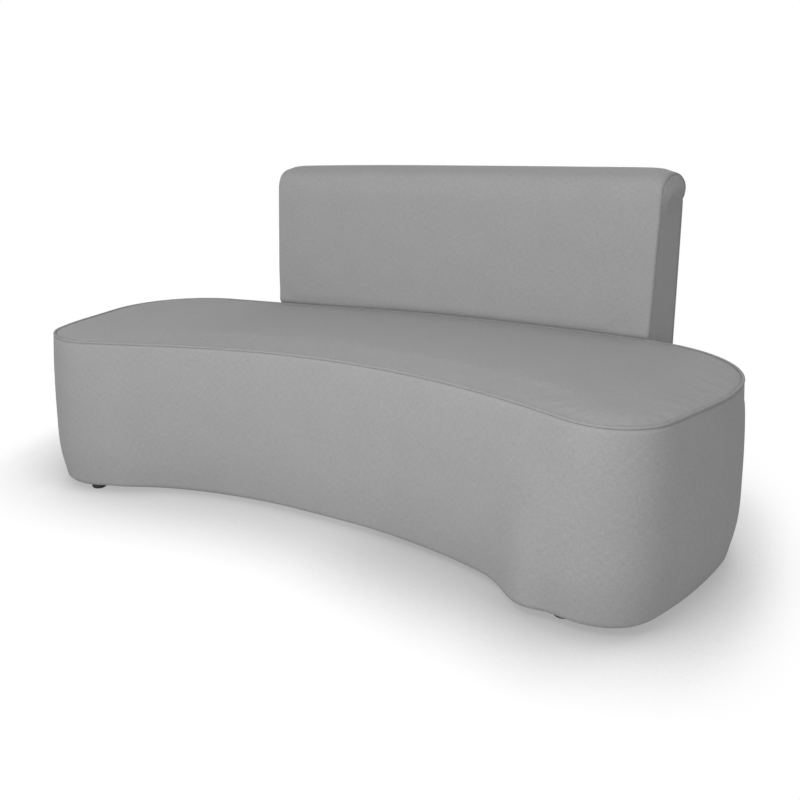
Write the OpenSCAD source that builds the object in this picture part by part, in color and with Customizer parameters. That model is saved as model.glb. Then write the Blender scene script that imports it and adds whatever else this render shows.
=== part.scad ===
// Curved sofa: a kidney-shaped seat block with a curved backrest bolted behind it.
// Millimetres. +X runs along the sofa, the hollow front faces -Y, +Z is up.

/* [Seat outline] */
// Front-to-back depth of the seat at its narrow middle
seat_mid_depth = 585; // [520:5:650]
// Radius of the long rear edge
rear_arc_r = 3830; // [3200:10:4600]
// Radius of the hollow front edge
front_arc_r = 1340; // [1200:10:1600]
// Radius of the two rear corners
corner_r = 271; // [240:1:310]
// Distance of each rear corner's centre from the middle
corner_x = 590; // [560:5:620]
// Radius of the two front lobes
lobe_r = 125; // [118:1:140]
// Distance of each front lobe's centre from the middle
lobe_x = 656; // [630:2:690]
// Radius of each end, between its corner and its lobe
end_arc_r = 1730; // [1300:10:2400]

/* [Seat block] */
// Height of the seat's welted edge above the floor
seat_h = 408; // [380:2:450]
// Rise of the crowned seat over its rim
crown_h = 8; // [4:1:14]
// Distance from the rim over which the crown rises
crown_reach = 104; // [80:1:110]
// Outward swell of the padded wall
wall_swell = 9; // [4:0.5:12]
// How far the wall draws in at its lower edge
tuck_in = 3.5; // [2:0.5:12]
// Height of the rolled-in lower edge
tuck_h = 24; // [18:1:36]
// Thickness of the padding on the walls
wall_pad_t = 18; // [14:1:24]
// Thickness of the seat's foam slab
seat_foam_t = 50; // [40:1:60]
// Thickness of the softer topper at its edge
topper_t = 9.5; // [8:0.5:14]
// Thickness of the upholstery cloth
cover_t = 1.5; // [1:0.1:2]
// Radius of the welt cord round the seat's edge
welt_r = 3.1; // [2.5:0.1:4]

/* [Backrest] */
// Height of the backrest's top above the floor
back_h = 824; // [760:2:900]
// Depth of the backrest at its foot
back_d = 199; // [175:1:215]
// Distance of the backrest's left end from the middle
back_left_x = 470; // [400:2:520]
// How far the backrest's front leans back at the roll
back_rake_in = 9.5; // [4:0.5:16]
// How far the rear face leans forward from foot to top
rear_lean_in = 27; // [14:1:34]
// Height of the soft roll along the top
roll_h = 72; // [60:1:90]
// How far the roll stands proud of the rear face
roll_proud = 13; // [6:1:18]
// Thickness of the foam in front of the backrest's board
back_foam_t = 52; // [45:1:60]
// Thickness of the wadding on the backrest's rear face
back_wadding_t = 10; // [6:1:14]
// Thickness of the foam on the backrest's two sides
side_foam_t = 8; // [5:1:12]

/* [Frame] */
// Height of the glide feet under the seat block
foot_h = 14.5; // [12:0.5:30]
// Radius of the glide feet
foot_r = 20; // [16:1:24]
// Thickness of the plywood rings and rails
board_t = 18; // [15:1:21]
// Width of the plywood rings
ring_w = 70; // [60:1:80]
// Side of the square posts
post_w = 40; // [34:1:45]
// Thickness of the bent skin and of the backrest's boards
skin_t = 3; // [2:0.5:5]
// Width of the seat belts
belt_w = 50; // [40:1:60]
// Thickness of the seat belts
belt_t = 1.5; // [1:0.1:2]
// Width of the backrest's ribs
rib_w = 36; // [30:1:40]
// Thickness of the panel that meets the seat block
panel_t = 12; // [9:1:15]

/* [Fasteners] */
// Radius of the fixing bolts' shank
bolt_r = 4; // [3:0.5:5]
// Length of the fixing bolts under the head
bolt_len = 120; // [110:1:140]
// Radius of the wood screws
screw_r = 2; // [1.5:0.1:2.5]
// Length of the frame screws
screw_len = 50; // [40:1:60]

/* [Hidden] */
$fn = 48;

// Colours
cloth_c = [0.60, 0.60, 0.60];
foam_c = [0.88, 0.84, 0.66];
wadding_c = [0.93, 0.93, 0.91];
ply_c = [0.80, 0.66, 0.46];
pine_c = [0.86, 0.72, 0.50];
belt_c = [0.12, 0.12, 0.13];
lining_c = [0.10, 0.10, 0.10];
glide_c = [0.06, 0.06, 0.06];
steel_c = [0.70, 0.71, 0.73];

// Clearances and overruns
seat_gap = 0.3;     // between the backrest and the seat block
fit_gap = 0.3;      // round rails and boards that are fitted between others
hole_gap = 0.4;     // round the shank of a bolt
insert_gap = 0.05;  // round a threaded insert
over = 1;           // overrun of a cut through a face

// Heights of the seat block, from the floor up
base_z = foot_h + cover_t;
welt_z = seat_h - welt_r;
rim_top_z = welt_z;
rim_z = rim_top_z - cover_t;
wall_top_z = welt_z - welt_r;
core_top_z = wall_top_z - topper_t;
core_z = core_top_z - seat_foam_t;
top_ring_top_z = core_z - belt_t * 2;
top_ring_z = top_ring_top_z - board_t;
bottom_ring_top_z = base_z + board_t;

// Outline of the seat as tangent arcs. Every arc keeps its centre when the outline
// is stepped in or out, so each layer of the build follows the one outside it.
lobe_drop = seat_mid_depth + front_arc_r - sqrt(pow(front_arc_r + lobe_r, 2) - pow(lobe_x, 2)) + lobe_r;
wall_out = wall_swell + cover_t;
rear_y = (lobe_drop + wall_out - back_d) / 2;
rear_c = [0, rear_y - rear_arc_r];
corner_c = [corner_x, rear_c.y + sqrt(pow(rear_arc_r - corner_r, 2) - pow(corner_x, 2))];
front_c = [0, rear_y - seat_mid_depth - front_arc_r];
lobe_c = [lobe_x, front_c.y + sqrt(pow(front_arc_r + lobe_r, 2) - pow(lobe_x, 2))];
side_len = norm(lobe_c - corner_c);
side_u = (lobe_c - corner_c) / side_len;
end_to_corner = end_arc_r - corner_r;
end_to_lobe = end_arc_r - lobe_r;
end_a = (pow(end_to_corner, 2) - pow(end_to_lobe, 2) + pow(side_len, 2)) / (2 * side_len);
end_c = corner_c + end_a * side_u + sqrt(pow(end_to_corner, 2) - pow(end_a, 2)) * [side_u.y, -side_u.x];

function bearing(from, to) = atan2(to.y - from.y, to.x - from.x);
rear_a = bearing(rear_c, corner_c);
corner_a = bearing(end_c, corner_c);
lobe_a = bearing(end_c, lobe_c);
front_a = bearing(front_c, lobe_c);
back_left_a = 90 + asin(back_left_x / rear_arc_r);

// A station is [centre, radius, bearing, side]; side is -1 on the hollow front.
function arc_stations(c, r, a0, a1, n, side) =
    [for (i = [0 : n - 1]) [c, r, a0 + (a1 - a0) * i / n, side]];
function flip(s) = [[-s[0].x, s[0].y], s[1], 180 - s[2], s[3]];
function point(s, w) = s[0] + (s[1] + s[3] * w) * [cos(s[2]), sin(s[2])];
function part_of(list, a, b) = [for (i = [a : b]) list[i]];

n_corner = 8;
n_end = 3;
n_lobe = 9;
n_front = 8;
n_left = 2;
n_back = 15;
right_side = concat(
    arc_stations(corner_c, corner_r, rear_a, corner_a, n_corner, 1),
    arc_stations(end_c, end_arc_r, corner_a, lobe_a, n_end, 1),
    arc_stations(lobe_c, lobe_r, lobe_a, front_a - 180, n_lobe, 1),
    arc_stations(front_c, front_arc_r, front_a, 90, n_front, -1));
n_half = len(right_side);
left_side = [for (i = [n_half - 1 : -1 : 0]) flip(right_side[i])];
left_rear = [for (i = [1 : n_left])
    [rear_c, rear_arc_r, 180 - rear_a + (back_left_a - 180 + rear_a) * i / n_left, 1]];
// The band is the free wall, from the backrest's right end round the front to its left end.
band = concat(right_side, [[front_c, front_arc_r, 90, -1]], left_side, left_rear);
n_band = len(band);
back_line = [for (i = [0 : n_back])
    [rear_c, rear_arc_r, back_left_a + (rear_a - back_left_a) * i / n_back, 1]];
ring = concat(band, part_of(back_line, 1, n_back - 1));
n_ring = len(ring);
function outline(w) = [for (s = ring) point(s, w)];

// Stations where the wall and the rings are divided
i_corner = n_corner / 2;
i_lobe = n_corner + n_end + n_lobe;
i_lobe_left = 2 * n_half - i_lobe;
i_corner_left = 2 * n_half - i_corner;
i_last = n_band - 1;

// Profile of the wall, from the hem under the base to the welt: [out, up].
// It goes flat where the backrest stands against it.
hem_w = 18;
wall_tuck_shares = [0.52, 0.17];
wall_swell_shares = [[0.60, 0.19], [1, 0.47], [0.86, 0.77], [0.40, 1]];
tuck_z = base_z + tuck_h;
function flat_share(i) = i <= 0 || i >= i_last ? 1 : (i == 1 || i == i_last - 1 ? 0.5 : 0);
function eased(w, i) = w + (-cover_t - w) * flat_share(i);
function wall_profile(i) = concat(
    [[-wall_pad_t - hem_w, base_z], [-wall_pad_t, base_z]],
    [[eased(-tuck_in - (wall_pad_t - tuck_in) * wall_tuck_shares[0], i),
      base_z + tuck_h * wall_tuck_shares[1]]],
    [[eased(-tuck_in, i), tuck_z]],
    [for (s = wall_swell_shares)
        [eased(-tuck_in + (wall_swell + tuck_in) * s[0], i), tuck_z + (core_top_z - tuck_z) * s[1]]],
    [[-welt_r - cover_t, wall_top_z]]);

// The path stepped sideways by t, mitred at its corners. Side 1 is to the right of its run.
function turn(p, q, side) = let (d = (q - p) / norm(q - p)) side * [d.y, -d.x];
function stepped(path, t, side) = [for (i = [0 : len(path) - 1])
    let (
        a = turn(path[max(i - 1, 0)], path[max(i, 1)], side),
        b = turn(path[min(i, len(path) - 2)], path[min(i + 1, len(path) - 1)], side)
    ) path[i] + t * (a + b) / (1 + a * b)];
function backwards(list) = [for (i = [len(list) - 1 : -1 : 0]) list[i]];

// Two layers that meet split their four-sided faces the same way: from the lower point at
// one station to the higher point at the next.
function split(a, b, c, d, rising) = rising ? [[a, b, c], [a, c, d]] : [[a, b, d], [b, c, d]];

// A closed section [out, up] carried along stations, open at both ends or joined up.
module sweep(stations, sections, joined = false) {
    n = len(stations);
    m = len(sections[0]);
    last = joined ? n - 1 : n - 2;
    points = [for (i = [0 : n - 1]) for (p = sections[i])
        let (q = point(stations[i], p.x)) [q.x, q.y, p.y]];
    sides = [for (i = [0 : last]) for (j = [0 : m - 1])
        let (
            k = (i + 1) % n,
            l = (j + 1) % m,
            a = i * m + j,
            b = k * m + j,
            c = k * m + l,
            d = i * m + l
        )
        for (f = split(a, b, c, d, sections[i][l].y >= sections[i][j].y)) f];
    caps = joined ? [] : [
        [for (j = [0 : m - 1]) j],
        [for (j = [m - 1 : -1 : 0]) (n - 1) * m + j]];
    polyhedron(points, concat(sides, caps), convexity = 6);
}

// Rings of the seat's outline stacked from a bottom cap to a top cap; a level is
// [out, up] for each station.
module stack(levels) {
    n = n_ring;
    k = len(levels);
    points = [for (l = [0 : k - 1]) for (i = [0 : n - 1])
        let (q = point(ring[i], levels[l][i].x)) [q.x, q.y, levels[l][i].y]];
    sides = [for (l = [0 : k - 2]) for (i = [0 : n - 1])
        let (
            j = (i + 1) % n,
            a = l * n + i,
            b = l * n + j
        )
        for (f = split(a, b, b + n, a + n, levels[l + 1][i].y >= levels[l][i].y)) f];
    polyhedron(points, concat(
        [[for (i = [n - 1 : -1 : 0]) i]], sides, [[for (i = [0 : n - 1]) (k - 1) * n + i]]),
        convexity = 6);
}
function level(w, z) = [for (i = [0 : n_ring - 1]) [w, z]];

// A flat strip between two steps of the outline, along some stations.
module strip(stations, w0, w1, z, h) {
    translate([0, 0, z])
        linear_extrude(h)
            polygon(concat([for (s = stations) point(s, w1)],
                backwards([for (s = stations) point(s, w0)])));
}

// Puts children on a station: x points out of its arc, y along it.
module at_station(s, w) {
    q = point(s, w);
    translate([q.x, q.y, 0])
        rotate([0, 0, s[2]])
            children();
}

// Glide feet

foot_edge = 4;
foot_lip = 2;
foot_in = foot_r + wall_pad_t + skin_t + fit_gap;
foot_screw_r = 2.25;
foot_head_r = 5;
foot_head_h = 3;
foot_seat_t = 5.5;
foot_recess = foot_h - foot_seat_t;
foot_screw_len = foot_head_h + foot_seat_t + cover_t + board_t;
left_foot_share = 0.955;
right_foot_share = 0.932;
rear_foot_turn = 50;
back_foot_in = 70;
function front_foot_a(share) = acos(share * lobe_x / (front_arc_r + foot_in));
function foot_at(i) =
    i == 0 ? flip([front_c, front_arc_r, front_foot_a(left_foot_share), -1]) :
    i == 1 ? [front_c, front_arc_r, front_foot_a(right_foot_share), -1] :
    i == 2 ? flip([corner_c, corner_r, rear_foot_turn, 1]) :
    i == 3 ? [corner_c, corner_r, rear_foot_turn, 1] :
    i == 4 ? [rear_c, rear_arc_r, back_left_a - asin(back_foot_in / rear_arc_r), 1] :
    [rear_c, rear_arc_r, rear_a + asin(back_foot_in / rear_arc_r), 1];
function foot_w(i) = i < 4 ? -foot_in : back_d / 2;

// The seat block's feet stand against its hem, the backrest's against its sole.
module foot(i) {
    top = i < 4 ? foot_h : base_z;
    color(glide_c)
        at_station(foot_at(i), foot_w(i))
            rotate_extrude()
                polygon([
                    [foot_head_r + hole_gap, 0], [foot_r - foot_lip, 0], [foot_r, foot_edge],
                    [foot_r, top], [foot_screw_r, top], [foot_screw_r, foot_recess],
                    [foot_head_r + hole_gap, foot_recess]]);
}

module foot_front_left() foot(0);
module foot_front_right() foot(1);
module foot_rear_left() foot(2);
module foot_rear_right() foot(3);
module foot_back_left() foot(4);
module foot_back_right() foot(5);

module foot_screws() {
    color(steel_c)
        for (i = [0 : 5])
            at_station(foot_at(i), foot_w(i))
                rotate_extrude()
                    polygon([
                        [0, foot_recess - foot_head_h], [foot_head_r, foot_recess - foot_head_h],
                        [foot_head_r, foot_recess], [screw_r, foot_recess],
                        [screw_r, foot_recess - foot_head_h + foot_screw_len],
                        [0, foot_recess - foot_head_h + foot_screw_len]]);
}

// Hole for the foot's screw in the board above it
module foot_screw_holes(ids) {
    for (i = ids)
        at_station(foot_at(i), foot_w(i))
            translate([0, 0, base_z - over])
                cylinder(r = screw_r, h = foot_recess - foot_head_h + foot_screw_len - base_z + over);
}

// Base frame

lining_t = 0.8;
lining_in = wall_pad_t + hem_w + fit_gap;
module dust_cover() {
    color(lining_c)
        translate([0, 0, base_z - lining_t])
            linear_extrude(lining_t)
                difference() {
                    polygon(outline(-lining_in));
                    for (i = [0 : 3]) {
                        q = point(foot_at(i), foot_w(i));
                        translate([q.x, q.y])
                            circle(r = screw_r);
                    }
                }
}

ring_out = wall_pad_t + skin_t;
ring_in = ring_out + ring_w;
i_joint = i_lobe + 1;
i_joint_left = i_lobe_left - 1;
rear_stations = concat(part_of(ring, i_corner_left, n_ring - 1), part_of(ring, 0, i_corner));

module ring_piece(stations, z) {
    color(ply_c)
        strip(stations, -ring_in, -ring_out, z, board_t);
}

module bottom_ring_front() {
    difference() {
        ring_piece(part_of(ring, i_joint, i_joint_left), base_z);
        screw_holes(0);
    }
}
module bottom_ring_rear() {
    difference() {
        ring_piece(rear_stations, base_z);
        foot_screw_holes([2, 3]);
        screw_holes(0);
    }
}
module bottom_ring_left() {
    difference() {
        ring_piece(part_of(ring, i_joint_left, i_corner_left), base_z);
        foot_screw_holes([0, 2]);
        screw_holes(0);
    }
}
module bottom_ring_right() {
    difference() {
        ring_piece(part_of(ring, i_corner, i_joint), base_z);
        foot_screw_holes([1, 3]);
        screw_holes(0);
    }
}
module top_ring_front() {
    difference() {
        ring_piece(part_of(ring, i_joint, i_joint_left), top_ring_z);
        screw_holes(1);
    }
}
module top_ring_rear() {
    difference() {
        ring_piece(rear_stations, top_ring_z);
        screw_holes(1);
    }
}
module top_ring_left() {
    difference() {
        ring_piece(part_of(ring, i_joint_left, i_corner_left), top_ring_z);
        screw_holes(1);
    }
}
module top_ring_right() {
    difference() {
        ring_piece(part_of(ring, i_corner, i_joint), top_ring_z);
        screw_holes(1);
    }
}

// Posts between the rings. The rear ones stand where the backrest's ribs are bolted on.
post_h = top_ring_z - bottom_ring_top_z;
post_gap = 3;
post_in = ring_out + post_gap + post_w / 2;
rib_end_in = side_foam_t + cover_t + rib_w / 2 + fit_gap;
rib_a0 = back_left_a - asin(rib_end_in / rear_arc_r);
rib_a1 = rear_a + asin(rib_end_in / rear_arc_r);
n_ribs = 5;
bolted_ribs = [0, 2, 4];
function rib_a(i) = rib_a0 + (rib_a1 - rib_a0) * i / (n_ribs - 1);
front_post_places = [
    for (i = [i_lobe + n_front / 4, i_lobe + n_front / 2, i_lobe + n_front,
        i_lobe_left - n_front / 2, i_lobe_left - n_front / 4])
        ring[i]];
rear_post_places = [for (i = bolted_ribs) [rear_c, rear_arc_r, rib_a(i), 1]];
right_post_places = [for (i = [i_corner - 1, n_corner + 2, i_lobe - n_lobe / 3]) ring[i]];
left_post_places = [for (s = right_post_places) flip(s)];

module posts(places) {
    color(pine_c)
        difference() {
            for (s = places)
                at_station(s, -post_in)
                    translate([-post_w / 2, -post_w / 2, bottom_ring_top_z])
                        cube([post_w, post_w, post_h]);
            screw_holes(0);
            screw_holes(1);
        }
}
module front_posts() posts(front_post_places);
module left_posts() posts(left_post_places);
module right_posts() posts(right_post_places);
module rear_posts() {
    difference() {
        posts(rear_post_places);
        bolt_holes();
    }
}

// Frame screws: one down through each ring into each post end
all_places = concat(front_post_places, rear_post_places, right_post_places, left_post_places);
screw_head_r = 4;
screw_head_h = 2.5;
module screw_profile(grow) {
    rotate_extrude()
        polygon([
            [0, 0], [screw_head_r, 0], [screw_r, -screw_head_h], [screw_r, grow - screw_len],
            [0, grow - screw_len]]);
}
module screws_at(top) {
    for (s = all_places)
        at_station(s, -post_in)
            translate([0, 0, top == 1 ? top_ring_top_z : base_z])
                mirror([0, 0, 1 - top])
                    screw_profile(0);
}
module screw_holes(top) {
    screws_at(top);
}
module frame_screws() {
    color(steel_c) {
        screws_at(0);
        screws_at(1);
    }
}

// Rails from the front ring to the rear ring, two under the belts and two on the floor ring
rail_w = 40;
rail_h = 45;
rail_x_shares = [-0.4, 0.4];
rail_lap = 40;
function rear_arc_y(x, w) = rear_c.y + sqrt(pow(rear_arc_r + w, 2) - x * x);
function front_arc_y(x, w) = front_c.y + sqrt(pow(front_arc_r - w, 2) - x * x);
module rails(z) {
    color(pine_c)
        for (s = rail_x_shares) {
            x = s * lobe_x;
            y0 = front_arc_y(x, -ring_in + rail_lap);
            y1 = rear_arc_y(x, -ring_in + rail_lap);
            translate([x - rail_w / 2, y0, z])
                cube([rail_w, y1 - y0, rail_h]);
        }
}
module bottom_rails() rails(bottom_ring_top_z);
module top_rails() rails(top_ring_z - rail_h);

// Bent skin round the frame
skin_h = top_ring_top_z - base_z;
module skin(stations) {
    color(ply_c)
        strip(stations, -ring_out, -wall_pad_t, base_z, skin_h);
}
module skin_front() skin(part_of(ring, i_lobe, i_lobe_left));
module skin_left() skin(part_of(ring, i_lobe_left, i_last));
module skin_right() skin(part_of(ring, 0, i_lobe));
module skin_rear() {
    difference() {
        skin(back_line);
        bolt_holes();
    }
}

// Seat

belt_tack = 21;
belt_end_in = ring_out + belt_tack;
n_long = 3;
long_pitch = 115;
long_in = 190;
cross_pitch = 110;
n_cross = 6;
module belts(z) {
    color(belt_c)
        translate([0, 0, z])
            linear_extrude(belt_t)
                intersection() {
                    polygon(outline(-belt_end_in));
                    children();
                }
}
module long_webbing() {
    belts(top_ring_top_z)
        for (i = [0 : n_long - 1])
            translate([0, rear_y - long_in - long_pitch * i])
                square([4 * lobe_x, belt_w], center = true);
}
module cross_webbing() {
    belts(top_ring_top_z + belt_t)
        for (i = [-n_cross : n_cross])
            translate([cross_pitch * i, rear_y - seat_mid_depth / 2])
                square([belt_w, 4 * seat_mid_depth], center = true);
}

module seat_foam() {
    color(foam_c)
        translate([0, 0, core_z])
            linear_extrude(seat_foam_t)
                polygon(outline(-wall_pad_t));
}

// The crowned top: shares of the crown's reach and of its rise
crown_shares = [[0, 0], [0.22, 0.52], [0.55, 0.86], [1, 1]];
crown_w0 = -2 * welt_r;
function crown(z) = [for (s = crown_shares) level(crown_w0 - crown_reach * s[0], z + crown_h * s[1])];
function wall_level(j) = [for (i = [0 : n_ring - 1]) wall_profile(min(i, i_last))[j]];
n_profile = len(wall_profile(0));
module seat_topper() {
    color(wadding_c)
        stack(concat([wall_level(n_profile - 2), wall_level(n_profile - 1)], crown(rim_z)));
}
module seat_cover() {
    color(cloth_c)
        stack(concat(backwards(crown(rim_z)), crown(rim_top_z)));
}

// Eight-sided cord with flat sides down and inwards
welt_sides = 8;
module seat_welt() {
    corner = welt_r / cos(180 / welt_sides);
    section = [for (j = [0 : welt_sides - 1])
        let (a = (j + 0.5) * 360 / welt_sides) [-welt_r + corner * cos(a), welt_z + corner * sin(a)]];
    color(cloth_c)
        sweep(ring, [for (s = ring) section], joined = true);
}

// Padded wall

function foam_section(i) = let (p = wall_profile(i))
    concat(part_of(p, 1, n_profile - 2), [[-wall_pad_t, core_top_z]]);
function cover_section(i) = let (p = wall_profile(i))
    concat(part_of(stepped(p, cover_t, 1), 0, n_profile - 2), [[-welt_r, wall_top_z]], backwards(p));
module wall_foam(a, b) {
    color(foam_c)
        sweep(part_of(band, a, b), [for (i = [a : b]) foam_section(i)]);
}
module wall_foam_right() wall_foam(0, i_lobe);
module wall_foam_front() wall_foam(i_lobe, i_lobe_left);
module wall_foam_left() wall_foam(i_lobe_left, i_last);
module wall_foam_rear() {
    color(foam_c)
        difference() {
            strip(back_line, -wall_pad_t, -cover_t, base_z, core_top_z - base_z);
            bolt_holes();
        }
}
module wall_cover() {
    color(cloth_c)
        sweep(band, [for (i = [0 : i_last]) cover_section(i)]);
}
module wall_cover_rear() {
    color(cloth_c)
        difference() {
            union() {
                strip(back_line, -cover_t, 0, base_z - cover_t, wall_top_z - base_z + cover_t);
                strip(back_line, -wall_pad_t - hem_w, -cover_t, base_z - cover_t, cover_t);
            }
            bolt_holes();
        }
}

// Backrest

panel_top_z = wall_top_z - back_foam_t / 4;
roll_z = back_h - roll_h;
front_d = seat_gap;
frame_d = front_d + back_foam_t + skin_t;
rib_rear_d = back_d - cover_t - back_wadding_t - skin_t - fit_gap;
rib_z = base_z + board_t;
frame_top_z = back_h - roll_h / 2;
rib_top_z = frame_top_z - board_t;
function lean(z) = rear_lean_in * (z - base_z) / (roll_z - base_z);
function board_d(z) = rib_rear_d + fit_gap - lean(z);

// The backrest's outer line from the seat, up its front and over the roll
roll_d = board_d(roll_z) + skin_t + back_wadding_t + cover_t + roll_proud - front_d - back_rake_in;
roll_shares = [
    [0, 0], [0.025, 0.42], [0.10, 0.74], [0.23, 0.93], [0.43, 1], [0.66, 0.97],
    [0.84, 0.83], [0.95, 0.60], [1, 0.30], [0.97, 0.04]];
front_line = concat(
    [[front_d, panel_top_z], [front_d, seat_h]],
    [for (s = roll_shares) [front_d + back_rake_in + roll_d * s[0], roll_z + roll_h * s[1]]]);
front_inner = stepped(front_line, cover_t, 1);
n_line = len(front_line);
// The rear face's cloth line, from its hem under the sole to the roll
hem_d = 40;
rear_top_z = roll_z - cover_t;
rear_inner = [
    [board_d(base_z) - hem_d, base_z],
    [board_d(base_z) + skin_t, base_z],
    [board_d(base_z) + skin_t + back_wadding_t / 2, base_z + back_wadding_t / 3],
    [board_d(base_z + board_t) + skin_t + back_wadding_t, base_z + board_t],
    [board_d(rear_top_z) + skin_t + back_wadding_t, rear_top_z]];
rear_line = stepped(rear_inner, cover_t, 1);

// Stations along the backrest with its ends stepped in
function between(inset) = let (
        a0 = back_left_a - asin(inset / rear_arc_r),
        a1 = rear_a + asin(inset / rear_arc_r)
    ) concat([[rear_c, rear_arc_r, a0, 1]],
        [for (s = part_of(back_line, 1, n_back - 1)) s],
        [[rear_c, rear_arc_r, a1, 1]]);
frame_line = between(side_foam_t + cover_t);
cloth_line = let (s = between(cover_t)) concat([s[0]], frame_line, [s[len(s) - 1]]);
module back_sweep(stations, section) {
    sweep(stations, [for (s = stations) section]);
}
// Puts children on the rear arc: x is the depth behind it, y runs along it to the left.
module radial(a) {
    at_station([rear_c, rear_arc_r, a, 1], 0)
        children();
}

module back_sole() {
    color(ply_c)
        difference() {
            strip(frame_line, front_d + panel_t, board_d(rib_z) - fit_gap, base_z, board_t);
            foot_screw_holes([4, 5]);
        }
}
module back_panel() {
    color(ply_c)
        difference() {
            strip(frame_line, front_d, front_d + panel_t, base_z, panel_top_z - base_z);
            bolt_holes();
        }
}
module back_ribs() {
    rear_top_d = board_d(rib_top_z) - fit_gap;
    color(ply_c)
        difference() {
            for (i = [0 : n_ribs - 1])
                radial(rib_a(i))
                    rotate([90, 0, 0])
                        translate([0, 0, -rib_w / 2])
                            linear_extrude(rib_w)
                                polygon([
                                    [front_d + panel_t, rib_z], [board_d(rib_z) - fit_gap, rib_z],
                                    [rear_top_d, rib_top_z], [frame_d, rib_top_z],
                                    [frame_d, panel_top_z], [front_d + panel_t, panel_top_z]]);
            bolt_holes();
            insert_holes();
        }
}
module back_top_rail() {
    color(ply_c)
        strip(frame_line, frame_d, board_d(frame_top_z) - fit_gap, rib_top_z, board_t);
}
module back_front_board() {
    color(ply_c)
        strip(frame_line, frame_d - skin_t, frame_d, panel_top_z, frame_top_z - panel_top_z);
}
module back_rear_board() {
    color(ply_c)
        back_sweep(frame_line, [
            [board_d(base_z), base_z], [board_d(base_z) + skin_t, base_z],
            [board_d(frame_top_z) + skin_t, frame_top_z], [board_d(frame_top_z), frame_top_z]]);
}

// Foam in front of the board, up to the second point of the roll, and the roll above it
i_split = 3;
module back_foam() {
    color(foam_c)
        back_sweep(frame_line, concat(
            [[frame_d - skin_t, panel_top_z], [frame_d - skin_t, frame_top_z]],
            backwards(part_of(front_inner, 0, i_split))));
}
module back_roll() {
    color(foam_c)
        back_sweep(frame_line, concat(
            [[frame_d - skin_t, frame_top_z], [board_d(frame_top_z) + skin_t, frame_top_z],
             [board_d(roll_z) + skin_t, roll_z]],
            backwards(part_of(front_inner, i_split, n_line - 1))));
}
module back_wadding() {
    color(wadding_c)
        back_sweep(frame_line, concat(
            part_of(rear_inner, 1, 4), [[board_d(rear_top_z) + skin_t, rear_top_z]]));
}
module back_cover() {
    color(cloth_c)
        back_sweep(cloth_line, concat(front_inner, backwards(front_line)));
}
module back_outside_cover() {
    color(cloth_c)
        back_sweep(cloth_line, concat(rear_line, backwards(rear_inner)));
}

// Side pieces: flat panels in the end planes of the backrest
module side_piece(a, inset, t, section, left) {
    radial(a + (left ? -1 : 1) * asin(inset / rear_arc_r))
        rotate([90, 0, 0])
            translate([0, 0, left ? 0 : -t])
                linear_extrude(t)
                    polygon(section);
}
side_inner = concat(
    [[front_d, base_z]], [[front_d, panel_top_z]], front_inner, backwards(part_of(rear_inner, 1, 4)));
side_outer = concat(
    [[front_d, base_z - cover_t]], front_line, backwards(part_of(rear_line, 1, 4)));
module back_side_foam_left() {
    color(foam_c)
        side_piece(back_left_a, cover_t, side_foam_t, side_inner, true);
}
module back_side_foam_right() {
    color(foam_c)
        side_piece(rear_a, cover_t, side_foam_t, side_inner, false);
}
module back_gusset_left() {
    color(cloth_c)
        side_piece(back_left_a, 0, cover_t, side_outer, true);
}
module back_gusset_right() {
    color(cloth_c)
        side_piece(rear_a, 0, cover_t, side_outer, false);
}

// Fixing of the backrest

washer_r = 10;
washer_t = 2;
bolt_head_r = 7.5;
bolt_head_h = 5.3;
insert_r = 6;
insert_len = 25;
bolt_height_shares = [0.29, 0.82];
bolt_out = -post_in - post_w / 2;
bolt_end = bolt_out - washer_t + bolt_len;
module bolt_places() {
    for (i = bolted_ribs)
        for (share = bolt_height_shares)
            radial(rib_a(i))
                translate([0, 0, bottom_ring_top_z + post_h * share])
                    rotate([0, 90, 0])
                        children();
}
module bolt_holes() {
    bolt_places()
        translate([0, 0, bolt_out - over])
            cylinder(r = bolt_r + hole_gap, h = bolt_end - bolt_out + 2 * over);
}
module insert_holes() {
    bolt_places()
        translate([0, 0, bolt_end - insert_len])
            cylinder(r = insert_r, h = insert_len + over);
}
module back_bolts() {
    color(steel_c)
        bolt_places() {
            translate([0, 0, bolt_out - washer_t - bolt_head_h])
                cylinder(r = bolt_head_r, h = bolt_head_h, $fn = 6);
            translate([0, 0, bolt_out - washer_t])
                cylinder(r = bolt_r, h = bolt_len);
        }
}
module back_washers() {
    color(steel_c)
        bolt_places()
            translate([0, 0, bolt_out - washer_t])
                difference() {
                    cylinder(r = washer_r, h = washer_t);
                    translate([0, 0, -over])
                        cylinder(r = bolt_r + hole_gap, h = washer_t + 2 * over);
                }
}
module back_inserts() {
    color(steel_c)
        bolt_places()
            translate([0, 0, bolt_end - insert_len])
                difference() {
                    cylinder(r = insert_r - insert_gap, h = insert_len);
                    translate([0, 0, -over])
                        cylinder(r = bolt_r + insert_gap, h = insert_len + 2 * over);
                }
}

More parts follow.
